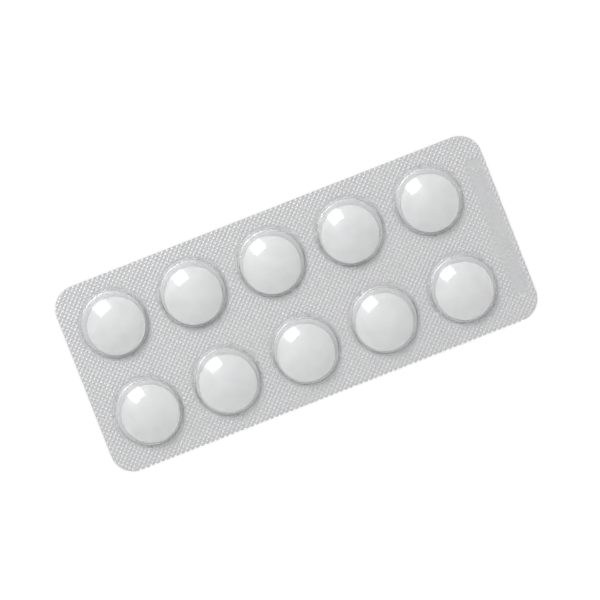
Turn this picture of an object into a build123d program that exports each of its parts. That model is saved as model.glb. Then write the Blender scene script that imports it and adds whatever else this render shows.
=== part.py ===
from build123d import *

import os
from math import cos, radians, sqrt, tan

# Pill blister pack: a clear formed film with two rows of five round pockets, each holding one loose
# biconvex tablet, sealed flat onto an aluminium lidding foil.
# The card lies on its foil: +Z is up, X runs along the card with the coding end at +X, and the
# origin is the centre of the foil's underside. All sizes are in millimetres.

# Card outline, shared by the film and the foil
CARD_LENGTH = 94.0
CARD_WIDTH = 40.5
CARD_CORNER_RADIUS = 4.8

# Sheets
FOIL_THICKNESS = 0.03
FILM_THICKNESS = 0.25
POCKET_WALL = 0.15  # forming stretches the film thinner in the pockets than on the flange

# Pocket layout
COLUMN_COUNT = 5
ROW_COUNT = 2
COLUMN_PITCH = 17.4
ROW_PITCH = 19.4
PLAIN_END_MARGIN = 10.6  # from the short edge at -X to the first column's centres

# Tablets
TABLET_DIAMETER = 12.0
TABLET_BAND = 2.2  # height of the straight cylindrical side
TABLET_CUP = 1.1  # height of the dome on each face
TABLET_EDGE_ROUND = 0.15

# How a tablet sits in its pocket
SIDE_SLACK = 0.72  # radial gap between a centred tablet's band and the pocket wall
HEADROOM = 0.6  # from the tablet's top to the inside of the pocket's crown
REST_GAP = 0.02  # from the foil to the tablet's lowest point
SETTLE_SHARE = 0.64  # how far every tablet has slid toward -Y, as a share of the side slack
COLUMN_DRIFT_SHARES = (0.30, -0.14, -0.25, -0.33, 0.0)  # slide along X of each column's tablets

# Pocket form
WALL_DRAFT = 3.0  # degrees from upright
CROWN_RISE = 1.4  # height of the domed top above its virtual edge
SHOULDER_RADIUS = 1.2  # outside bend between wall and crown
FOOT_RADIUS = 0.45  # outside bend between flange and wall
COLLAR_WIDTH = 0.3  # ring of flat flange made together with each pocket

# Heights that follow from the sizes above
FLANGE_TOP = FOIL_THICKNESS + FILM_THICKNESS
TABLET_BOTTOM = FOIL_THICKNESS + REST_GAP
TABLET_THICKNESS = TABLET_BAND + 2 * TABLET_CUP
TABLET_BAND_TOP = TABLET_BOTTOM + TABLET_CUP + TABLET_BAND
INNER_APEX = TABLET_BOTTOM + TABLET_THICKNESS + HEADROOM
INNER_SHOULDER = INNER_APEX - CROWN_RISE
OUTER_APEX = INNER_APEX + POCKET_WALL
OUTER_SHOULDER = INNER_SHOULDER + POCKET_WALL

# Bends of the inner surface, which keep the sheet's thickness round each corner
INNER_SHOULDER_RADIUS = SHOULDER_RADIUS - POCKET_WALL
INNER_FOOT_RADIUS = FOOT_RADIUS + POCKET_WALL


def wall_radius(height, outward=0.0):
    """Radius of the drafted pocket wall's inside at a height, moved outward."""
    radius_at_band_top = TABLET_DIAMETER / 2 + SIDE_SLACK + outward
    return radius_at_band_top + (TABLET_BAND_TOP - height) * tan(radians(WALL_DRAFT))


def foot_reach(bend_radius):
    """How far a foot bend runs out along the flange from the wall's foot."""
    return bend_radius * tan(radians((90 - WALL_DRAFT) / 2))


WALL_ACROSS = POCKET_WALL / cos(radians(WALL_DRAFT))  # the drafted wall's thickness along X
OUTER_MOUTH_RADIUS = wall_radius(FLANGE_TOP, WALL_ACROSS) + foot_reach(FOOT_RADIUS)
INNER_MOUTH_RADIUS = wall_radius(FOIL_THICKNESS) + foot_reach(INNER_FOOT_RADIUS)
COLLAR_RADIUS = max(OUTER_MOUTH_RADIUS, INNER_MOUTH_RADIUS) + COLLAR_WIDTH


def pocket_centres():
    """Pocket axes as (x, y, column), row by row from +Y and each row from the plain end."""
    first_x = -CARD_LENGTH / 2 + PLAIN_END_MARGIN
    first_y = ROW_PITCH * (ROW_COUNT - 1) / 2
    return [
        (first_x + column * COLUMN_PITCH, first_y - row * ROW_PITCH, column)
        for row in range(ROW_COUNT)
        for column in range(COLUMN_COUNT)
    ]


def card_outline():
    """Rounded rectangle that both sheets are cut to."""
    return RectangleRounded(CARD_LENGTH, CARD_WIDTH, CARD_CORNER_RADIUS)


def dome_arc(edge, apex):
    """Arc from a dome's edge to its apex on the axis, as (radius, height) points."""
    edge_radius, edge_height = edge
    rise = apex[1] - edge_height
    sphere_radius = (edge_radius**2 + rise**2) / (2 * abs(rise))
    drop = sphere_radius - sqrt(sphere_radius**2 - edge_radius**2 / 4)
    midway = (edge_radius / 2, apex[1] - drop * rise / abs(rise))
    return ThreePointArc(edge, midway, apex)


def round_corners(face, bends):
    """Round a face's corners, given as {corner point: radius}."""
    for corner, radius in bends.items():
        nearest = face.vertices().sort_by_distance(Vector(*corner))[0]
        face = fillet(nearest, radius)
    return face


def spin(half_section):
    """Solid of revolution about Z of a half section drawn with its height along Y."""
    return revolve(Plane.XZ * half_section, Axis.Z)


def pocket_shell():
    """One formed pocket with its collar of flange, on the Z axis."""
    inner_apex = (0, INNER_APEX)
    inner_edge = (wall_radius(INNER_SHOULDER), INNER_SHOULDER)
    inner_foot = (wall_radius(FOIL_THICKNESS), FOIL_THICKNESS)
    collar_bottom = (COLLAR_RADIUS, FOIL_THICKNESS)
    collar_top = (COLLAR_RADIUS, FLANGE_TOP)
    outer_foot = (wall_radius(FLANGE_TOP, WALL_ACROSS), FLANGE_TOP)
    outer_edge = (wall_radius(OUTER_SHOULDER, WALL_ACROSS), OUTER_SHOULDER)
    outer_apex = (0, OUTER_APEX)
    section = Polyline(inner_edge, inner_foot, collar_bottom, collar_top, outer_foot, outer_edge)
    section += dome_arc(outer_edge, outer_apex)
    section += Line(outer_apex, inner_apex)
    section += dome_arc(inner_edge, inner_apex)
    bends = {
        inner_edge: INNER_SHOULDER_RADIUS,
        inner_foot: INNER_FOOT_RADIUS,
        outer_foot: FOOT_RADIUS,
        outer_edge: SHOULDER_RADIUS,
    }
    return spin(round_corners(make_face(section), bends))


def blister_film():
    """The formed film: a flat flange with a pocket at each place, all one sheet."""
    places = [Pos(x, y) for x, y, column in pocket_centres()]
    flange = card_outline() - [place * Circle(COLLAR_RADIUS) for place in places]
    film = Pos(0, 0, FOIL_THICKNESS) * extrude(flange, FILM_THICKNESS)
    shell = pocket_shell()
    return film + [place * shell for place in places]


def lidding_foil():
    """The flat aluminium foil under the whole card."""
    return extrude(card_outline(), FOIL_THICKNESS)


def tablet():
    """One biconvex tablet, standing on its lower dome at the origin."""
    bottom = (0, 0)
    band_bottom = (TABLET_DIAMETER / 2, TABLET_CUP)
    band_top = (TABLET_DIAMETER / 2, TABLET_CUP + TABLET_BAND)
    top = (0, TABLET_THICKNESS)
    section = dome_arc(band_bottom, bottom) + Line(band_bottom, band_top)
    section += dome_arc(band_top, top)
    section += Line(top, bottom)
    bends = {band_bottom: TABLET_EDGE_ROUND, band_top: TABLET_EDGE_ROUND}
    return spin(round_corners(make_face(section), bends))


def tablet_place(x, y, column):
    """Where a pocket's tablet has come to rest, slid within the pocket's side slack."""
    drift = COLUMN_DRIFT_SHARES[column] * SIDE_SLACK
    settle = SETTLE_SHARE * SIDE_SLACK
    return Pos(x + drift, y - settle, TABLET_BOTTOM)


os.makedirs("parts", exist_ok=True)
export_step(blister_film(), "parts/blister_film.step")
export_step(lidding_foil(), "parts/lidding_foil.step")
TABLET = tablet()
for number, centre in enumerate(pocket_centres(), start=1):
    export_step(tablet_place(*centre) * TABLET, f"parts/tablet_{number}.step")
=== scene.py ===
"""Looks of a pill blister pack: clear formed film, embossed aluminium foil and ten white tablets."""

from __future__ import annotations

import logging
import math
from dataclasses import dataclass, field
from enum import Enum

import bpy
import numpy as np
from mathutils import Matrix, Vector
from mathutils.geometry import delaunay_2d_cdt


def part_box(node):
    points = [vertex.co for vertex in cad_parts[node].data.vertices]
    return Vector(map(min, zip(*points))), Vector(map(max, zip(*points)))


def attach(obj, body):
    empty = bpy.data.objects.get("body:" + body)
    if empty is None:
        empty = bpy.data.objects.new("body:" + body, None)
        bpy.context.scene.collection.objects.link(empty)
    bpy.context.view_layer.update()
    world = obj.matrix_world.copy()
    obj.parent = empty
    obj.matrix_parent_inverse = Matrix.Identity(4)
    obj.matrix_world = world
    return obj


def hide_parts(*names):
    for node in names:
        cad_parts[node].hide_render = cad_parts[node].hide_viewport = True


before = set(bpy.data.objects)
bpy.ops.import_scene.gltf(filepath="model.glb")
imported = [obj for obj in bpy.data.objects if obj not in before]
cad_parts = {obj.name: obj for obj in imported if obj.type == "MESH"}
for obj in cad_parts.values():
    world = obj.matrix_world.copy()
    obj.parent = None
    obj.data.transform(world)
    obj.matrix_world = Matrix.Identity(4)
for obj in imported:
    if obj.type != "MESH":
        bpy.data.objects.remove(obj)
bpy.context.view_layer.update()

LOG = logging.getLogger("blister_pack")
MM = 0.001  # the frame is in metres; sizes below are in millimetres
BODY = "root"
WELD = 1e-6  # metres within which seams are merged
SHARP_EDGE = math.radians(45)
FULL_TURN = 2 * math.pi
TRIANGLES_INSIDE = 1  # delaunay_2d_cdt's choice of triangles inside the outer loop
TRIANGLE_TOLERANCE = 1e-7
WORKING_ATTRIBUTES = ("relief", "ripple", "outward")
WHITE = (1.0, 1.0, 1.0, 1.0)

Profile = list[tuple[float, float]]  # radius and height pairs
Value = bpy.types.NodeSocket | float | tuple[float, ...]


class Slot(Enum):
    """Material slots of the record."""

    FILM = "clear_film"
    FOIL = "foil"
    TABLET = "tablet"


class Density(Enum):
    """How many points carry the flank of one bump of the embossing."""

    FINE = 8
    LIGHT = 4


# Node building


class Tree:
    """Adds nodes to a node tree and links them."""

    def __init__(self, tree: bpy.types.NodeTree) -> None:
        """Start from an empty tree."""
        self.tree = tree
        tree.nodes.clear()

    def node(self, kind: str, inputs: dict | None = None, **settings: object) -> bpy.types.Node:
        """Add a node.

        Args:
            kind: The node's Blender type name.
            inputs: Values or output sockets for its inputs, by name or index.
            **settings: Properties of the node itself.

        Returns:
            The new node.
        """
        made = self.tree.nodes.new(kind)
        for name, value in settings.items():
            setattr(made, name, value)
        for key, value in (inputs or {}).items():
            self.feed(made.inputs[key], value)
        return made

    def feed(self, socket: bpy.types.NodeSocket, value: Value) -> None:
        """Link a socket to an output, or give it a plain value.

        Args:
            socket: The input socket.
            value: The output socket or the plain value.
        """
        if isinstance(value, bpy.types.NodeSocket):
            self.tree.links.new(value, socket)
        else:
            socket.default_value = value

    def math(self, operation: str, *values: Value) -> bpy.types.NodeSocket:
        """Return the result of a Math node."""
        inputs = dict(enumerate(values))
        return self.node("ShaderNodeMath", inputs, operation=operation).outputs[0]

    def vector(self, operation: str, *values: Value) -> bpy.types.NodeSocket:
        """Return the vector result of a Vector Math node."""
        inputs = dict(enumerate(values))
        return self.node("ShaderNodeVectorMath", inputs, operation=operation).outputs[0]

    def spread(self, value: Value, low: float, high: float) -> bpy.types.NodeSocket:
        """Return a 0 to 1 value spread between two numbers."""
        inputs = {"Value": value, "To Min": low, "To Max": high}
        return self.node("ShaderNodeMapRange", inputs).outputs["Result"]

    def share(self, value: Value, low: float, high: float) -> bpy.types.NodeSocket:
        """Return a value as its share, from 0 to 1, of the way between two numbers."""
        inputs = {"Value": value, "From Min": low, "From Max": high}
        return self.node("ShaderNodeMapRange", inputs).outputs["Result"]

    def show(self, shader: bpy.types.Node) -> None:
        """Make this shader the material's surface."""
        self.node("ShaderNodeOutputMaterial", {"Surface": shader.outputs[0]})


# The card's plan


@dataclass(frozen=True)
class Card:
    """Plan of the whole card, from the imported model, in millimetres."""

    length: float
    width: float
    corner: float = 4.8
    edge_step: float = 0.14  # spacing of the outline's points along the straight edges
    corner_steps: int = 48  # steps in the outline's four corners together

    @classmethod
    def from_frame(cls) -> Card:
        """Read the card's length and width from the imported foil."""
        low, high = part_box("lidding_foil")
        return cls(length=(high.x - low.x) / MM, width=(high.y - low.y) / MM)

    def outline(self) -> np.ndarray:
        """Lay out the rounded outline.

        Returns:
            Its points, anticlockwise.
        """
        points: list[tuple[float, float]] = []
        half = np.array([self.length / 2 - self.corner, self.width / 2 - self.corner])
        quarter = self.corner_steps // 4
        for turn, (sign_x, sign_y) in enumerate([(1, 1), (-1, 1), (-1, -1), (1, -1)]):
            centre = half * (sign_x, sign_y)
            angles = [math.radians(90 * turn + 90 * step / quarter) for step in range(quarter + 1)]
            bend = [centre + self.corner * np.array([math.cos(a), math.sin(a)]) for a in angles]
            if points:
                points += self._edge(points[-1], bend[0])
            points += [tuple(point) for point in bend]
        points += self._edge(points[-1], points[0])
        return np.array(points)

    def _edge(self, start: tuple[float, float], end: np.ndarray) -> list[tuple[float, float]]:
        """Lay points along a straight edge.

        Args:
            start: One end of the edge.
            end: The other end.

        Returns:
            The points between the ends, ends left out.
        """
        start, end = np.array(start), np.array(end)
        count = round(float(np.linalg.norm(end - start)) / self.edge_step)
        return [tuple(start + (end - start) * step / count) for step in range(1, count)]

    def depth(self, points: np.ndarray) -> np.ndarray:
        """Return how far inside the outline each point lies."""
        half = np.array([self.length / 2, self.width / 2]) - self.corner
        return -rounded_distance(points, half, self.corner)


@dataclass(frozen=True)
class Pockets:
    """Where the pockets are and how each is formed, in millimetres."""

    columns: int = 5
    rows: int = 2
    column_pitch: float = 17.4
    row_pitch: float = 19.4
    plain_end_margin: float = 10.6
    rim_radius: float = 7.5
    segments: int = 72

    def middle(self, card: Card) -> Vector:
        """Return the centre of the array of pockets."""
        span = (self.columns - 1) * self.column_pitch
        return Vector((-card.length / 2 + self.plain_end_margin + span / 2, 0.0, 0.0))

    def centres(self, card: Card) -> np.ndarray:
        """Lay out the pocket axes.

        Args:
            card: The card that the pockets are in.

        Returns:
            One axis to a row, by rows from +Y, each from the plain end.
        """
        middle = self.middle(card)
        columns = (np.arange(self.columns) - (self.columns - 1) / 2) * self.column_pitch
        rows = ((self.rows - 1) / 2 - np.arange(self.rows)) * self.row_pitch
        return np.array([(middle.x + x, y) for y in rows for x in columns])

    def rim(self, centre: np.ndarray) -> np.ndarray:
        """Return the circle where a pocket leaves the flange."""
        angles = np.arange(self.segments) * (FULL_TURN / self.segments)
        return centre + self.rim_radius * np.stack([np.cos(angles), np.sin(angles)], 1)

    def outside(self, card: Card, points: np.ndarray) -> np.ndarray:
        """Return how far outside the nearest pocket's rim each point lies."""
        gaps = points[:, None, :] - self.centres(card)[None, :, :]
        return np.linalg.norm(gaps, axis=2).min(1) - self.rim_radius


@dataclass(frozen=True)
class CodingBand:
    """Smooth band left free of embossing along the coding end, in millimetres."""

    length: float = 29.9
    width: float = 3.1
    edge_gap: float = 2.57  # from the card's edge to the band's middle
    sideways: float = -0.4  # of the band's middle from the card's

    def outside(self, card: Card, points: np.ndarray) -> np.ndarray:
        """Measure how far outside the band points lie.

        Args:
            card: The card that the band is on.
            points: The points, one to a row.

        Returns:
            Distances, negative inside the band.
        """
        centre = np.array([card.length / 2 - self.edge_gap, self.sideways])
        radius = self.width / 2
        half = np.array([self.width / 2, self.length / 2]) - radius
        return rounded_distance(points - centre, half, radius)


def rounded_distance(points: np.ndarray, half: np.ndarray, radius: float) -> np.ndarray:
    """Return the signed distance to a rounded rectangle about the origin.

    Args:
        points: The points, one to a row.
        half: Half the rectangle's length and width, less the corner radius.
        radius: The corner radius.

    Returns:
        Distances, negative inside.
    """
    beyond = np.abs(points) - half
    outside = np.linalg.norm(np.maximum(beyond, 0), axis=1)
    inside = np.minimum(beyond.max(1), 0)
    return outside + inside - radius


def smooth_step(values: np.ndarray, width: float) -> np.ndarray:
    """Return 0 below zero, 1 above width, and a smooth rise between."""
    share = np.clip(values / width, 0, 1)
    return share * share * (3 - 2 * share)


@dataclass(frozen=True)
class Knurl:
    """Lattice of small bumps that the sealing plate presses into film and foil."""

    pitch: float = 0.775
    turn: float = math.radians(45)
    depth: float = 0.075
    fade: float = 0.22  # width over which the bumps rise beside a smooth area
    keep_clear: float = 0.055  # least distance of the lattice's points from an edge
    ring: float = 0.26  # radius of the ring of points on a bump's flank, in pitches

    def cell(self, density: Density) -> np.ndarray:
        """Lay out the points that carry one bump.

        Args:
            density: How finely the bump is carried.

        Returns:
            The points, in pitches from its peak.
        """
        count = density.value
        turned = 0.5 if density is Density.LIGHT else 0.0
        angles = (np.arange(count) + turned) * (FULL_TURN / count)
        flank = self.ring * np.stack([np.cos(angles), np.sin(angles)], 1)
        ground = np.array([(0, 0), (0.5, 0), (0, 0.5), (0.5, 0.5)])
        return np.concatenate([ground, flank])

    def points(self, reach: float, density: Density) -> np.ndarray:
        """Lay out the lattice over a square about the origin.

        Args:
            reach: How far the square reaches from the origin.
            density: How finely each bump is carried.

        Returns:
            The points, one to a row.
        """
        count = math.ceil(reach * math.sqrt(2) / self.pitch)
        steps = np.arange(-count, count + 1)
        peaks = np.stack(np.meshgrid(steps, steps), -1).reshape(-1, 1, 2)
        turned = (peaks + self.cell(density)).reshape(-1, 2) * self.pitch
        cos, sin = math.cos(-self.turn), math.sin(-self.turn)
        return turned @ np.array([[cos, sin], [-sin, cos]])


@dataclass(frozen=True)
class Plan:
    """Everything that the two sheets share in plan, in millimetres."""

    card: Card
    pockets: Pockets
    band: CodingBand
    knurl: Knurl
    smooth_spacing: float = 0.9  # of the points where the sheets are smooth
    rim_fade: float = 1.0  # width over which the ripples start inside a pocket's rim
    free_width: float = 5.0  # from the rim inwards, so the foil lies still under the tablet
    free_fade: float = 2.0  # width over which the ripples end towards the tablet's middle
    ripple_size: float = 2.6
    ripple_depth: float = 0.05
    seed: float = 3.0

    def sealed(self, points: np.ndarray) -> np.ndarray:
        """Find how fully points are embossed.

        Args:
            points: The points, one to a row.

        Returns:
            A share for each point, from 0 to 1.
        """
        off_pockets = smooth_step(self.pockets.outside(self.card, points), self.knurl.fade)
        off_band = smooth_step(self.band.outside(self.card, points), self.knurl.fade)
        return off_pockets * off_band

    def loose(self, points: np.ndarray) -> np.ndarray:
        """Find how freely the sheets can ripple.

        Args:
            points: The points, one to a row.

        Returns:
            A share for each point, from 0 to 1.
        """
        in_band = smooth_step(-self.band.outside(self.card, points), self.band.width / 4)
        from_rim = self.pockets.outside(self.card, points)
        in_pocket = smooth_step(-from_rim, self.rim_fade)
        in_pocket = in_pocket * smooth_step(from_rim + self.free_width, self.free_fade)
        return np.maximum(in_band, in_pocket)

    def triangles(self, density: Density, holed: bool) -> tuple[np.ndarray, np.ndarray]:
        """Triangulate the card's plan.

        Args:
            density: How finely the bumps are carried.
            holed: True to leave the pockets open.

        Returns:
            The points and the triangles, anticlockwise seen from above.
        """
        rims = [self.pockets.rim(centre) for centre in self.pockets.centres(self.card)]
        loops = [self.card.outline(), *rims]
        inner = np.concatenate([self._embossed(density), self._smooth(holed)])
        points = np.concatenate([*loops, inner])
        edges, start = [], 0
        for loop in loops:
            ring = np.arange(start, start + len(loop))
            edges += list(zip(ring.tolist(), np.roll(ring, -1).tolist()))
            start += len(loop)
        corners = [Vector(point) for point in points]
        made = delaunay_2d_cdt(corners, edges, [], TRIANGLES_INSIDE, TRIANGLE_TOLERANCE)
        flat, faces = np.array([tuple(v) for v in made[0]]), np.array(made[2])
        if holed:
            middles = flat[faces].mean(1)
            faces = faces[self.pockets.outside(self.card, middles) > 0]
        used, faces = np.unique(faces, return_inverse=True)
        return flat[used], faces.reshape(-1, 3)

    def _embossed(self, density: Density) -> np.ndarray:
        """Pick the lattice's points that lie clear of every edge of the sealed area.

        Args:
            density: How finely each bump is carried.

        Returns:
            The points, one to a row.
        """
        clear = self.knurl.keep_clear
        points = self.knurl.points(self.card.length / 2, density)
        points = points[self.card.depth(points) > clear]
        points = points[self.pockets.outside(self.card, points) > clear]
        return points[self.band.outside(self.card, points) > 0]

    def _smooth(self, holed: bool) -> np.ndarray:
        """Lay coarser points on the coding band and, unless holed, under the pockets.

        Args:
            holed: True to leave the pockets open.

        Returns:
            The points, one to a row.
        """
        reach = np.arange(-self.card.length / 2, self.card.length / 2, self.smooth_spacing)
        points = np.stack(np.meshgrid(reach, reach), -1).reshape(-1, 2)
        inside = self.band.outside(self.card, points) < -self.knurl.keep_clear
        if not holed:
            inside |= self.pockets.outside(self.card, points) < -self.smooth_spacing / 2
        return points[inside]


# Meshes


@dataclass
class Shell:
    """A mesh being put together, in millimetres, with its two shares at each point."""

    points: list[np.ndarray] = field(default_factory=list)
    faces: list[np.ndarray] = field(default_factory=list)
    relief: list[np.ndarray] = field(default_factory=list)
    ripple: list[np.ndarray] = field(default_factory=list)

    def add(
        self, points: np.ndarray, faces: np.ndarray, relief: np.ndarray, ripple: np.ndarray
    ) -> None:
        """Add a patch of triangles.

        Args:
            points: Its points, one to a row.
            faces: Its triangles, as rows of its points.
            relief: How fully each point is embossed, from 0 to 1.
            ripple: How freely each point can ripple, from 0 to 1.
        """
        start = sum(len(patch) for patch in self.points)
        self.points.append(points)
        self.faces.append(faces + start)
        self.relief.append(relief)
        self.ripple.append(ripple)

    def build(self, name: str) -> bpy.types.Object:
        """Return the shell as an object with point attributes relief and ripple.

        Args:
            name: The object's name.

        Returns:
            The object, linked to the scene.
        """
        mesh = bpy.data.meshes.new(name)
        points = np.concatenate(self.points) * MM
        mesh.from_pydata(points.tolist(), [], np.concatenate(self.faces).tolist())
        for label, shares in (("relief", self.relief), ("ripple", self.ripple)):
            attribute = mesh.attributes.new(label, "FLOAT", "POINT")
            attribute.data.foreach_set("value", np.concatenate(shares).astype(np.float32))
        return link_object(name, mesh)


def link_object(name: str, data: bpy.types.ID) -> bpy.types.Object:
    """Make an object of this data and link it to the scene.

    Args:
        name: The object's name.
        data: Its mesh, lamp or camera.

    Returns:
        The object.
    """
    made = bpy.data.objects.new(name, data)
    bpy.context.scene.collection.objects.link(made)
    return made


def lathe(profile: Profile, segments: int) -> tuple[np.ndarray, np.ndarray]:
    """Turn a profile about the Z axis.

    Args:
        profile: Radius and height pairs. A radius of zero makes a pole. Faces point out of
            a profile that runs upwards.
        segments: How many steps make a turn.

    Returns:
        The points and the triangles.
    """
    angles = np.arange(segments) * (FULL_TURN / segments)
    points: list[tuple[float, float, float]] = []
    rings: list[list[int]] = []
    for radius, height in profile:
        start = len(points)
        if radius < WELD:
            points.append((0.0, 0.0, height))
            rings.append([start] * segments)
            continue
        points += [(radius * math.cos(a), radius * math.sin(a), height) for a in angles]
        rings.append(list(range(start, start + segments)))
    faces = []
    for lower, upper in zip(rings, rings[1:]):
        for step in range(segments):
            after = (step + 1) % segments
            a, b, c, d = lower[step], lower[after], upper[after], upper[step]
            faces += [t for t in ((a, b, c), (a, c, d)) if len(set(t)) == 3]
    return np.array(points), np.array(faces)


def arc(
    centre: tuple[float, float], radius: float, start: float, end: float, steps: int
) -> Profile:
    """Lay points along an arc of a profile.

    Args:
        centre: Radius and height of the arc's centre.
        radius: The arc's own radius.
        start: Its first angle, in degrees from the outward direction.
        end: Its last angle.
        steps: How many steps make the arc.

    Returns:
        The points, both ends included.
    """
    angles = np.radians(np.linspace(start, end, steps + 1))
    return [(centre[0] + radius * math.cos(a), centre[1] + radius * math.sin(a)) for a in angles]


def finish_mesh(source: bpy.types.Object, name: str) -> bpy.types.Object:
    """Turn an object with modifiers into a plain smooth mesh, and remove the source.

    Args:
        source: The object with its modifiers.
        name: The finished object's name.

    Returns:
        The finished object, without modifiers or working attributes.
    """
    graph = bpy.context.evaluated_depsgraph_get()
    mesh = bpy.data.meshes.new_from_object(source.evaluated_get(graph))
    bpy.data.objects.remove(source)
    mesh.name = name
    for label in WORKING_ATTRIBUTES:
        if label in mesh.attributes:
            mesh.attributes.remove(mesh.attributes[label])
    mesh.shade_smooth()
    mesh.set_sharp_from_angle(angle=SHARP_EDGE)
    return link_object(name, mesh)


# Geometry nodes


class SheetForming:
    """Geometry Nodes tree that embosses a flat sheet and sets its formed pockets into it."""

    HALF_CELL = (0.5, 0.5, 0.5)
    NOISE_DETAIL = 1.0
    RIPPLE_SEED = 0.0  # added to the seed, so that ripples and walls differ
    WALL_SEED = 7.0
    INPUTS = {
        "Geometry": ("Geometry",),
        "Object": ("Pocket",),
        "Vector": ("Pocket centre",),
        "Int": ("Columns", "Rows"),
        "Float": (
            *("Column pitch", "Row pitch", "Knurl pitch", "Knurl turn", "Knurl depth"),
            *("Ripple size", "Ripple depth", "Wall waviness", "Seed"),
        ),
        "Material": ("Material",),
    }

    def __init__(self, name: str) -> None:
        """Build the tree with its named inputs.

        Args:
            name: The tree's name.
        """
        self.group = bpy.data.node_groups.new(name, "GeometryNodeTree")
        self._sockets()
        self.steps = Tree(self.group)
        self.given = self.steps.node("NodeGroupInput").outputs
        formed = self._embossed(self.given["Geometry"])
        formed = self._with_pockets(formed)
        formed = self._wavy_walls(formed)
        inputs = {"Geometry": formed, "Material": self.given["Material"]}
        dressed = self.steps.node("GeometryNodeSetMaterial", inputs)
        self.steps.node("NodeGroupOutput", {"Geometry": dressed.outputs[0]})

    def _sockets(self) -> None:
        """Make the tree's named inputs and its output."""
        face = self.group.interface
        face.new_socket(name="Geometry", in_out="OUTPUT", socket_type="NodeSocketGeometry")
        for kind, labels in self.INPUTS.items():
            for label in labels:
                face.new_socket(name=label, in_out="INPUT", socket_type=f"NodeSocket{kind}")

    def _share(self, label: str, kind: str = "FLOAT") -> bpy.types.NodeSocket:
        """Return a point attribute of the sheet."""
        made = self.steps.node("GeometryNodeInputNamedAttribute", {"Name": label}, data_type=kind)
        return made.outputs["Attribute"]

    def _noise(self, size: bpy.types.NodeSocket, seed_step: float) -> bpy.types.NodeSocket:
        """Make a smooth noise.

        Args:
            size: The size of its features.
            seed_step: Added to the tree's seed.

        Returns:
            The noise, from -0.5 to 0.5.
        """
        steps = self.steps
        inputs = {
            "W": steps.math("ADD", self.given["Seed"], seed_step),
            "Scale": steps.math("DIVIDE", 1.0, size),
            "Detail": self.NOISE_DETAIL,
        }
        noise = steps.node("ShaderNodeTexNoise", inputs, noise_dimensions="4D")
        return steps.math("SUBTRACT", noise.outputs[0], 0.5)

    def _embossed(self, geometry: bpy.types.NodeSocket) -> bpy.types.NodeSocket:
        """Raise the lattice of round bumps and the slow ripples of the loose areas.

        Args:
            geometry: The flat sheet.

        Returns:
            The embossed sheet.
        """
        steps, given = self.steps, self.given
        place = steps.node("GeometryNodeInputPosition").outputs[0]
        turned = steps.node(
            "ShaderNodeVectorRotate",
            {"Vector": place, "Angle": given["Knurl turn"]},
            rotation_type="Z_AXIS",
        ).outputs[0]
        scaled = steps.node(
            "ShaderNodeVectorMath",
            {0: turned, "Scale": steps.math("DIVIDE", 1.0, given["Knurl pitch"])},
            operation="SCALE",
        ).outputs[0]
        cell = steps.vector("FRACTION", steps.vector("ADD", scaled, self.HALF_CELL))
        from_peak = steps.vector("SUBTRACT", cell, self.HALF_CELL)
        flat = steps.vector("MULTIPLY", from_peak, (1.0, 1.0, 0.0))
        length = steps.node("ShaderNodeVectorMath", {0: flat}, operation="LENGTH")
        radius = steps.math("MINIMUM", length.outputs["Value"], 0.5)
        swing = steps.math("MULTIPLY", radius, FULL_TURN)
        bump = steps.math("MULTIPLY_ADD", steps.math("COSINE", swing), 0.5, 0.5)
        raised = steps.math("MULTIPLY", bump, given["Knurl depth"])
        raised = steps.math("MULTIPLY", raised, self._share("relief"))
        # Ripples only lift a sheet, so the foil never dips under the surface it lies on.
        lifted = steps.math("ADD", self._noise(given["Ripple size"], self.RIPPLE_SEED), 0.5)
        ripple = steps.math("MULTIPLY", lifted, given["Ripple depth"])
        ripple = steps.math("MULTIPLY", ripple, self._share("ripple"))
        lift = steps.node("ShaderNodeCombineXYZ", {"Z": steps.math("ADD", raised, ripple)})
        inputs = {"Geometry": geometry, "Offset": lift.outputs[0]}
        return steps.node("GeometryNodeSetPosition", inputs).outputs[0]

    def _with_pockets(self, flange: bpy.types.NodeSocket) -> bpy.types.NodeSocket:
        """Set one formed pocket at each point of the array and weld all the seams.

        Args:
            flange: The embossed sheet.

        Returns:
            The sheet with its pockets, if the tree is given one.
        """
        steps, given = self.steps, self.given
        lengths = [
            steps.math("MULTIPLY", steps.math("SUBTRACT", given[count], 1.0), given[pitch])
            for count, pitch in (("Columns", "Column pitch"), ("Rows", "Row pitch"))
        ]
        grid = steps.node(
            "GeometryNodeMeshGrid",
            {
                "Size X": lengths[0],
                "Size Y": lengths[1],
                "Vertices X": given["Columns"],
                "Vertices Y": given["Rows"],
            },
        ).outputs["Mesh"]
        inputs = {"Geometry": grid, "Translation": given["Pocket centre"]}
        placed = steps.node("GeometryNodeTransform", inputs).outputs[0]
        pocket = steps.node("GeometryNodeObjectInfo", {"Object": given["Pocket"]})
        inputs = {"Points": placed, "Instance": pocket.outputs["Geometry"]}
        set_in = steps.node("GeometryNodeInstanceOnPoints", inputs).outputs[0]
        joined = steps.node("GeometryNodeJoinGeometry", {"Geometry": flange})
        steps.feed(joined.inputs[0], set_in)
        real = steps.node("GeometryNodeRealizeInstances", {"Geometry": joined.outputs[0]})
        inputs = {"Geometry": real.outputs[0], "Distance": WELD}
        return steps.node("GeometryNodeMergeByDistance", inputs).outputs[0]

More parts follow.
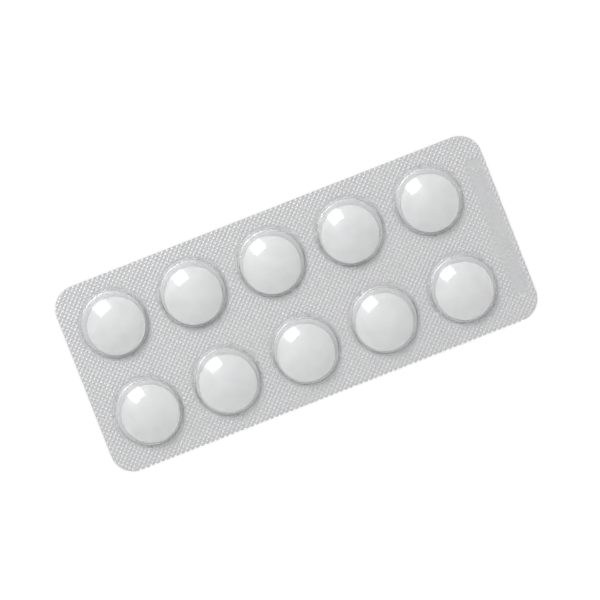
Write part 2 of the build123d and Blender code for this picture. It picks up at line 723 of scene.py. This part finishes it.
    def _wavy_walls(self, geometry: bpy.types.NodeSocket) -> bpy.types.NodeSocket:
        """Push the pocket walls in and out a little, each pocket in its own way.

        Args:
            geometry: The sheet with its pockets.

        Returns:
            The sheet with slightly wavy walls.
        """
        steps, given = self.steps, self.given
        waves = self._noise(given["Ripple size"], self.WALL_SEED)
        amount = steps.math("MULTIPLY", waves, given["Wall waviness"])
        offset = steps.node(
            "ShaderNodeVectorMath",
            {0: self._share("outward", "FLOAT_VECTOR"), "Scale": amount},
            operation="SCALE",
        )
        inputs = {"Geometry": geometry, "Offset": offset.outputs[0]}
        return steps.node("GeometryNodeSetPosition", inputs).outputs[0]

    def apply(self, sheet: bpy.types.Object, values: dict[str, object]) -> None:
        """Put the tree on a sheet as a modifier.

        Args:
            sheet: The flat sheet.
            values: A value for each named input.
        """
        modifier = sheet.modifiers.new(self.group.name, "NODES")
        modifier.node_group = self.group
        for item in self.group.interface.items_tree:
            if item.in_out == "INPUT" and item.name in values:
                modifier[item.identifier] = values[item.name]


# Finishes


class SurfaceGrain:
    """Shader node group shared by the finishes: fine grain, drawn lines and slow variation."""

    NAME = "Surface grain"
    SIZES = (("Grain size", 0.1), ("Line size", 0.05), ("Patch size", 8.0))
    DRAWN_OUT = (0.03, 1.0, 1.0)  # squeezes the pattern along X into long lines
    FINE_DETAIL = 3.0
    LINE_DETAIL = 2.0

    @classmethod
    def group(cls) -> bpy.types.NodeTree:
        """Return the group, which is built on its first use.

        Returns:
            The shared group.
        """
        if cls.NAME in bpy.data.node_groups:
            return bpy.data.node_groups[cls.NAME]
        made = bpy.data.node_groups.new(cls.NAME, "ShaderNodeTree")
        face, kind = made.interface, "NodeSocketFloat"
        for label, default in cls.SIZES:
            socket = face.new_socket(name=label, in_out="INPUT", socket_type=kind)
            socket.default_value = default
        for label in ("Grain", "Lines", "Patches"):
            face.new_socket(name=label, in_out="OUTPUT", socket_type=kind)
        steps = Tree(made)
        given = steps.node("NodeGroupInput").outputs
        place = steps.node("ShaderNodeTexCoord").outputs["Object"]
        drawn = steps.vector("MULTIPLY", place, cls.DRAWN_OUT)
        found = {}
        for label, vector, size, detail in (
            ("Grain", place, "Grain size", cls.FINE_DETAIL),
            ("Lines", drawn, "Line size", cls.LINE_DETAIL),
            ("Patches", place, "Patch size", cls.FINE_DETAIL),
        ):
            scale = steps.math("DIVIDE", 1.0 / MM, given[size])
            inputs = {"Vector": vector, "Scale": scale, "Detail": detail}
            found[label] = steps.node("ShaderNodeTexNoise", inputs).outputs[0]
        steps.node("NodeGroupOutput", found)
        return made

    @classmethod
    def place(cls, steps: Tree, grain: float, line: float, patch: float) -> bpy.types.NodeOutputs:
        """Add the group to a material.

        Args:
            steps: The material's tree.
            grain: Size of the grain, in millimetres.
            line: Spacing of the drawn lines, in millimetres.
            patch: Size of the slow patches, in millimetres.

        Returns:
            The group's outputs.
        """
        node = steps.node("ShaderNodeGroup")
        node.node_tree = cls.group()
        for (label, _), value in zip(cls.SIZES, (grain, line, patch)):
            node.inputs[label].default_value = value
        return node.outputs


def new_material(name: str) -> tuple[bpy.types.Material, Tree]:
    """Make an empty node material.

    Args:
        name: The material's name.

    Returns:
        The material and its tree.
    """
    made = bpy.data.materials.new(name)
    made.use_nodes = True
    return made, Tree(made.node_tree)


def mixed_colour(
    steps: Tree, share: Value, low: tuple[float, ...], high: tuple[float, ...]
) -> bpy.types.NodeSocket:
    """Mix two colours.

    Args:
        steps: The material's tree.
        share: From 0 to 1.
        low: The colour at 0.
        high: The colour at 1.

    Returns:
        The mixed colour.
    """
    node = steps.node("ShaderNodeMix", {"Factor": share}, data_type="RGBA")
    node.inputs[6].default_value = (*low, 1.0)  # its A and B of the colour kind
    node.inputs[7].default_value = (*high, 1.0)
    return node.outputs[2]


@dataclass(frozen=True)
class FilmFinish:
    """Clear glossy plastic film, with faint haze and handling marks."""

    tint: tuple[float, float, float] = (0.97, 0.975, 0.98)
    clear: tuple[float, float, float] = (1.0, 1.0, 1.0)
    passes: tuple[float, float, float, float] = (0.94, 0.945, 0.95, 1.0)  # to the lamp's light
    ior: float = 1.5
    smooth: float = 0.03
    hazy: float = 0.12
    grain: float = 0.35
    line: float = 0.2
    patch: float = 6.0
    bump: float = 0.004

    def build(self) -> bpy.types.Material:
        """Build the material.

        Returns:
            Glass to the eye, and plainly clear to the light that falls through it.
        """
        made, steps = new_material("clear_film")
        detail = SurfaceGrain.place(steps, self.grain, self.line, self.patch)
        haze = steps.spread(detail["Patches"], self.smooth, self.hazy)
        height = steps.math("ADD", detail["Grain"], detail["Patches"])
        bump = steps.node("ShaderNodeBump", {"Height": height, "Distance": self.bump * MM})
        film = steps.node(
            "ShaderNodeBsdfPrincipled",
            {
                "Base Color": mixed_colour(steps, detail["Patches"], self.tint, self.clear),
                "Roughness": haze,
                "IOR": self.ior,
                "Transmission Weight": 1.0,
                "Normal": bump.outputs[0],
            },
        )
        clear = steps.node("ShaderNodeBsdfTransparent", {"Color": self.passes})
        falling = steps.node("ShaderNodeLightPath").outputs["Is Shadow Ray"]
        inputs = {0: falling, 1: film.outputs[0], 2: clear.outputs[0]}
        mix = steps.node("ShaderNodeMixShader", inputs)
        steps.show(mix)
        return made


@dataclass(frozen=True)
class FoilFinish:
    """Bright rolled aluminium foil, with drawn rolling lines and dull patches."""

    bright: tuple[float, float, float] = (0.92, 0.92, 0.925)
    dull: tuple[float, float, float] = (0.80, 0.80, 0.81)
    smooth: float = 0.24
    rough: float = 0.36
    grain: float = 0.12
    line: float = 0.06
    patch: float = 9.0
    line_share: float = 0.5
    blend_range: tuple[float, float] = (0.5, 1.0)
    bump: float = 0.003

    def build(self) -> bpy.types.Material:
        """Build the material.

        Returns:
            Metal that is duller and rougher along its lines and in its patches.
        """
        made, steps = new_material("rolled_foil")
        detail = SurfaceGrain.place(steps, self.grain, self.line, self.patch)
        blend = steps.math("MULTIPLY_ADD", detail["Lines"], self.line_share, detail["Patches"])
        share = steps.share(blend, *self.blend_range)
        height = steps.math("ADD", detail["Lines"], detail["Grain"])
        bump = steps.node("ShaderNodeBump", {"Height": height, "Distance": self.bump * MM})
        foil = steps.node(
            "ShaderNodeBsdfPrincipled",
            {
                "Base Color": mixed_colour(steps, share, self.bright, self.dull),
                "Metallic": 1.0,
                "Roughness": steps.spread(share, self.smooth, self.rough),
                "Normal": bump.outputs[0],
            },
        )
        steps.show(foil)
        return made


@dataclass(frozen=True)
class TabletFinish:
    """Pressed white powder: fine pits, faint mottling and a slight sheen."""

    pale: tuple[float, float, float] = (0.87, 0.87, 0.87)
    shade: tuple[float, float, float] = (0.80, 0.80, 0.795)
    smooth: float = 0.36
    rough: float = 0.52
    grain: float = 0.16
    line: float = 0.4
    patch: float = 2.4
    grain_share: float = 0.5
    blend_range: tuple[float, float] = (0.55, 1.05)
    bump: float = 0.012

    def build(self) -> bpy.types.Material:
        """Build the material.

        Returns:
            A matt white with fine pits and faint mottling.
        """
        made, steps = new_material("pressed_powder")
        detail = SurfaceGrain.place(steps, self.grain, self.line, self.patch)
        mottle = steps.math("MULTIPLY_ADD", detail["Grain"], self.grain_share, detail["Patches"])
        share = steps.share(mottle, *self.blend_range)
        inputs = {"Height": detail["Grain"], "Distance": self.bump * MM}
        bump = steps.node("ShaderNodeBump", inputs)
        powder = steps.node(
            "ShaderNodeBsdfPrincipled",
            {
                "Base Color": mixed_colour(steps, share, self.pale, self.shade),
                "Roughness": steps.spread(detail["Grain"], self.smooth, self.rough),
                "Normal": bump.outputs[0],
            },
        )
        steps.show(powder)
        return made


# The pieces


@dataclass(frozen=True)
class Sheets:
    """Heights of the two sealed sheets, in millimetres above the surface they lie on."""

    foil: float
    film: float = 0.25  # thickness of the film on the flange
    bond: float = 0.004  # how far the film's underside is let into the foil's face

    @property
    def film_bottom(self) -> float:
        """Height of the film's underside."""
        return self.foil - self.bond

    @property
    def film_top(self) -> float:
        """Height of the film's face."""
        return self.foil + self.film

    def flat_sheet(
        self, plan: Plan, density: dict[str, Density], holed: bool, lower: float, upper: float
    ) -> Shell:
        """Return a closed flat sheet with the card's outline.

        Args:
            plan: The card's plan.
            density: How finely the "lower" and the "upper" side carry the bumps.
            holed: True to leave the pockets open.
            lower: Height of the underside.
            upper: Height of the top.

        Returns:
            The sheet, without walls at its holes.
        """
        shell = Shell()
        for side, height in (("lower", lower), ("upper", upper)):
            flat, faces = plan.triangles(density[side], holed)
            points = np.column_stack([flat, np.full(len(flat), height)])
            faces = faces if side == "upper" else faces[:, ::-1]
            shell.add(points, faces, plan.sealed(flat), plan.loose(flat))
        outline = plan.card.outline()
        count = len(outline)
        low, high = np.arange(count), np.arange(count) + count
        after_low, after_high = np.roll(low, -1), np.roll(high, -1)
        walls = np.concatenate(
            [np.stack([low, after_low, after_high], 1), np.stack([low, after_high, high], 1)]
        )
        both = np.concatenate([outline, outline])
        rim = np.column_stack([both, np.repeat([lower, upper], count)])
        shell.add(rim, walls, plan.sealed(both), plan.loose(both))
        return shell


@dataclass(frozen=True)
class LiddingFoil:
    """The aluminium foil under the whole card."""

    sheets: Sheets
    plan: Plan

    def build(self, forming: SheetForming, finish: FoilFinish) -> bpy.types.Object:
        """Build and dress the foil.

        Args:
            forming: The tree that embosses it.
            finish: Its finish.

        Returns:
            The embossed foil.
        """
        density = {"lower": Density.FINE, "upper": Density.FINE}
        shell = self.sheets.flat_sheet(self.plan, density, False, 0.0, self.sheets.foil)
        sheet = shell.build("flat_foil")
        forming.apply(sheet, forming_values(self.plan, finish.build()))
        return finish_mesh(sheet, "embossed_foil")


@dataclass(frozen=True)
class BlisterFilm:
    """The clear film with its ten formed pockets, in millimetres."""

    sheets: Sheets
    plan: Plan
    apex: float  # height of a pocket's outside
    wall: float = 0.15
    wall_radius: float = 6.72  # of the inside, at the height band_top
    band_top: float = 3.35
    draft: float = math.radians(3)
    crown_rise: float = 1.4
    shoulder: float = 1.2  # outside bend between wall and crown
    foot: float = 0.45  # outside bend between flange and wall
    waviness: float = 0.10
    wave_rise: float = 1.0  # height above the flange over which the waves begin
    still_radius: float = 4.0  # the crown has no waves within this radius
    wave_fade: float = 2.5  # width over which they begin outside it
    bend_steps: int = 6
    crown_steps: int = 8
    settling_rounds: int = 20

    def surface(self, outer: bool) -> Profile:
        """Draw the profile of one surface of a pocket.

        Args:
            outer: True for the outer surface, False for the inner one.

        Returns:
            The profile, from rim to apex.
        """
        grow = self.wall if outer else 0.0
        flange = self.sheets.film_top if outer else self.sheets.film_bottom
        foot = self.foot if outer else self.foot + self.wall
        shoulder = self.shoulder - self.wall + grow
        apex = self.apex - self.wall + grow
        across = grow / math.cos(self.draft)

        def wall_at(height: float) -> float:
            """Return the drafted wall's radius at a height."""
            return self.wall_radius + across + (self.band_top - height) * math.tan(self.draft)

        height = apex - self.crown_rise
        sphere = (wall_at(height) ** 2 + self.crown_rise**2) / (2 * self.crown_rise)
        lean = math.degrees(self.draft)
        # The shoulder's centre lies one bend inside both the wall and the crown's sphere.
        for _ in range(self.settling_rounds):
            radius = wall_at(height) - shoulder / math.cos(self.draft)
            height = apex - sphere + math.sqrt((sphere - shoulder) ** 2 - radius**2)
        tilt = math.degrees(math.atan2(height - apex + sphere, radius))
        foot_height = flange + foot
        foot_radius = wall_at(foot_height) + foot / math.cos(self.draft)
        points: Profile = [(self.plan.pockets.rim_radius, flange)]
        points += arc((foot_radius, foot_height), foot, 270, 180 + lean, self.bend_steps)
        points += arc((radius, height), shoulder, lean, tilt, self.bend_steps)
        crown = arc((0.0, apex - sphere), sphere, tilt, 90, self.crown_steps)
        return points + crown[1:-1] + [(0.0, apex)]

    def pocket(self) -> bpy.types.Object:
        """Build one formed pocket on the Z axis.

        Returns:
            The pocket, open at its rim, with how far each point can move outwards.
        """
        segments = self.plan.pockets.segments
        shell = Shell()
        directions = []
        for outer in (True, False):
            points, faces = lathe(self.surface(outer), segments)
            faces = faces if outer else faces[:, ::-1]
            none = np.zeros(len(points))
            shell.add(points, faces, none, none)
            radius = np.linalg.norm(points[:, :2], axis=1)
            rise = smooth_step(points[:, 2] - self.sheets.film_top, self.wave_rise)
            reach = rise * smooth_step(radius - self.still_radius, self.wave_fade) * MM
            safe = np.maximum(radius, WELD)[:, None]
            directions.append(np.column_stack([points[:, :2] / safe, none]) * reach[:, None])
        made = shell.build("formed_pocket")
        attribute = made.data.attributes.new("outward", "FLOAT_VECTOR", "POINT")
        attribute.data.foreach_set("vector", np.concatenate(directions).astype(np.float32).ravel())
        return made

    def build(self, forming: SheetForming, finish: FilmFinish) -> bpy.types.Object:
        """Build and dress the whole film.

        Args:
            forming: The tree that embosses it and sets its pockets in.
            finish: Its finish.

        Returns:
            The formed film.
        """
        lower, upper = self.sheets.film_bottom, self.sheets.film_top
        density = {"lower": Density.FINE, "upper": Density.LIGHT}
        shell = self.sheets.flat_sheet(self.plan, density, True, lower, upper)
        sheet = shell.build("flat_film")
        pocket = self.pocket()
        values = forming_values(self.plan, finish.build())
        values.update({"Pocket": pocket, "Wall waviness": self.waviness})
        forming.apply(sheet, values)
        made = finish_mesh(sheet, "clear_formed_film")
        bpy.data.objects.remove(pocket)
        return made


def forming_values(plan: Plan, material: bpy.types.Material) -> dict[str, object]:
    """Gather the forming tree's values that both sheets share.

    Args:
        plan: The card's plan.
        material: The sheet's material.

    Returns:
        A value for each named input, lengths in metres.
    """
    pockets, knurl = plan.pockets, plan.knurl
    return {
        "Pocket centre": pockets.middle(plan.card) * MM,
        "Columns": pockets.columns,
        "Rows": pockets.rows,
        "Column pitch": pockets.column_pitch * MM,
        "Row pitch": pockets.row_pitch * MM,
        "Knurl pitch": knurl.pitch * MM,
        "Knurl turn": knurl.turn,
        "Knurl depth": knurl.depth * MM,
        "Ripple size": plan.ripple_size * MM,
        "Ripple depth": plan.ripple_depth * MM,
        "Seed": plan.seed,
        "Material": material,
    }


@dataclass(frozen=True)
class Tablet:
    """One pressed biconvex tablet, in millimetres."""

    node: str
    cup: float = 1.1
    edge: float = 0.15
    segments: int = 96
    dome_steps: int = 12
    edge_steps: int = 4

    def profile(self, radius: float, thickness: float) -> Profile:
        """Draw the tablet's profile.

        Args:
            radius: The tablet's radius.
            thickness: Its whole thickness.

        Returns:
            The profile, from its lower pole to its upper pole.
        """
        sphere = (radius**2 + self.cup**2) / (2 * self.cup)
        centre_radius = radius - self.edge
        centre_drop = sphere - math.sqrt((sphere - self.edge) ** 2 - centre_radius**2)
        tilt = math.degrees(math.atan2(sphere - centre_drop, centre_radius))
        upper = arc((centre_radius, thickness - centre_drop), self.edge, 0, tilt, self.edge_steps)
        dome = arc((0.0, thickness - sphere), sphere, tilt, 90, self.dome_steps)
        top = upper + dome[1:-1] + [(0.0, thickness)]
        bottom = [(point[0], thickness - point[1]) for point in reversed(top)]
        return bottom + top

    def build(self, material: bpy.types.Material) -> bpy.types.Object:
        """Build and dress the tablet.

        Args:
            material: Its material.

        Returns:
            The tablet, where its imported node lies.
        """
        low, high = (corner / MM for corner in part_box(self.node))
        profile = self.profile((high.x - low.x) / 2, high.z - low.z)
        points, faces = lathe(profile, self.segments)
        points = points + np.array([(low.x + high.x) / 2, (low.y + high.y) / 2, low.z])
        mesh = bpy.data.meshes.new(self.node)
        mesh.from_pydata((points * MM).tolist(), [], faces.tolist())
        mesh.shade_smooth()
        mesh.materials.append(material)
        return link_object(f"white_{self.node}", mesh)


# The studio


@dataclass(frozen=True)
class Studio:
    """Camera, soft lamp, surroundings and pale floor."""

    view_width: float = 0.12374  # metres across the picture
    roll: float = math.radians(-21.4)
    aim: tuple[float, float] = (0.00099, 0.00043)  # from the card's centre
    lens: float = 600.0
    sensor: float = 36.0
    clip: tuple[float, float] = (0.05, 20.0)
    lamp_from_upright: float = math.radians(31)
    lamp_azimuth: float = math.radians(111)
    lamp_distance: float = 1.0
    lamp_size: float = 0.34
    lamp_power: float = 2.3
    zenith: float = 0.57  # brightness of the surroundings straight up
    horizon: float = 1.08  # and all round
    floor_reach: float = 1.5
    floor_gap: float = 0.00002  # under the foil
    floor_colour: tuple[float, float, float, float] = (0.9, 0.9, 0.9, 1.0)
    floor_glow: float = 0.22

    def build(self) -> None:
        """Build the whole studio."""
        self._camera()
        self._lamp()
        self._surroundings()
        self._floor()
        bpy.context.scene.view_settings.view_transform = "Standard"

    def _camera(self) -> None:
        """Look straight down on the card, along a long lens."""
        data = bpy.data.cameras.new("camera")
        data.lens, data.sensor_width = self.lens, self.sensor
        data.clip_start, data.clip_end = self.clip
        camera = link_object("camera", data)
        distance = self.view_width * self.lens / self.sensor
        camera.location = (*self.aim, distance)
        camera.rotation_euler = (0.0, 0.0, self.roll)
        bpy.context.scene.camera = camera

    def _lamp(self) -> None:
        """Hang one soft lamp beyond the card's far edge."""
        data = bpy.data.lights.new("soft_lamp", "AREA")
        data.shape, data.size, data.energy = "SQUARE", self.lamp_size, self.lamp_power
        lamp = link_object("soft_lamp", data)
        out = math.sin(self.lamp_from_upright) * self.lamp_distance
        up = math.cos(self.lamp_from_upright) * self.lamp_distance
        place = Vector((out * math.cos(self.lamp_azimuth), out * math.sin(self.lamp_azimuth), up))
        aimed = place.to_track_quat("Z", "Y").to_matrix().to_4x4()
        lamp.matrix_world = Matrix.Translation(place) @ aimed
        lamp.visible_camera = False
        lamp.visible_transmission = False

    def _surroundings(self) -> None:
        """Light the card from all round, more from the sides than from above."""
        world = bpy.data.worlds.new("studio")
        bpy.context.scene.world = world
        world.use_nodes = True
        steps = Tree(world.node_tree)
        way = steps.node("ShaderNodeTexCoord").outputs["Generated"]
        height = steps.node("ShaderNodeSeparateXYZ", {0: way}).outputs["Z"]
        rise = steps.math("ABSOLUTE", height)
        level = steps.spread(rise, self.horizon, self.zenith)
        back = steps.node("ShaderNodeBackground", {"Color": WHITE, "Strength": level})
        steps.node("ShaderNodeOutputWorld", {"Surface": back.outputs[0]})
        world.cycles.sampling_method = "NONE"

    def _floor(self) -> None:
        """Lay a pale floor that the camera, metal and film see as white, with its shadow."""
        reach = self.floor_reach
        mesh = bpy.data.meshes.new("floor")
        corners = [(-reach, -reach), (reach, -reach), (reach, reach), (-reach, reach)]
        mesh.from_pydata([(x, y, -self.floor_gap) for x, y in corners], [], [(0, 1, 2, 3)])
        made, steps = new_material("floor")
        pale = steps.node("ShaderNodeBsdfDiffuse", {"Color": self.floor_colour})
        path = steps.node("ShaderNodeLightPath").outputs
        seen = steps.math("MAXIMUM", path["Is Camera Ray"], path["Is Transmission Ray"])
        seen = steps.math("MAXIMUM", seen, path["Is Glossy Ray"])
        glow = steps.math("MULTIPLY", seen, self.floor_glow)
        lit = steps.node("ShaderNodeEmission", {"Strength": glow})
        both = steps.node("ShaderNodeAddShader", {0: pale.outputs[0], 1: lit.outputs[0]})
        steps.show(both)
        mesh.materials.append(made)
        link_object("floor", mesh)


# Putting it together


def hand_over(piece: bpy.types.Object, node: str) -> None:
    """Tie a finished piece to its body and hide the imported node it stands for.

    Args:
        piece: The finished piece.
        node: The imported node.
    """
    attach(piece, BODY)
    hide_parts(node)
    LOG.info("%s: %d faces, stands for %s", piece.name, len(piece.data.polygons), node)


def main() -> None:
    """Build every piece of the pack and its studio."""
    logging.basicConfig(level=logging.INFO, format="%(name)s: %(message)s")
    plan = Plan(Card.from_frame(), Pockets(), CodingBand(), Knurl())
    film_low, film_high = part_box("blister_film")
    sheets = Sheets(foil=film_low.z / MM)
    forming = SheetForming("Sheet forming")
    foil = LiddingFoil(sheets, plan).build(forming, FoilFinish())
    hand_over(foil, "lidding_foil")
    film = BlisterFilm(sheets, plan, apex=film_high.z / MM).build(forming, FilmFinish())
    hand_over(film, "blister_film")
    powder = TabletFinish().build()
    for node in sorted(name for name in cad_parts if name.startswith("tablet_")):
        hand_over(Tablet(node).build(powder), node)
    Studio().build()


if __name__ == "__main__":
    main()
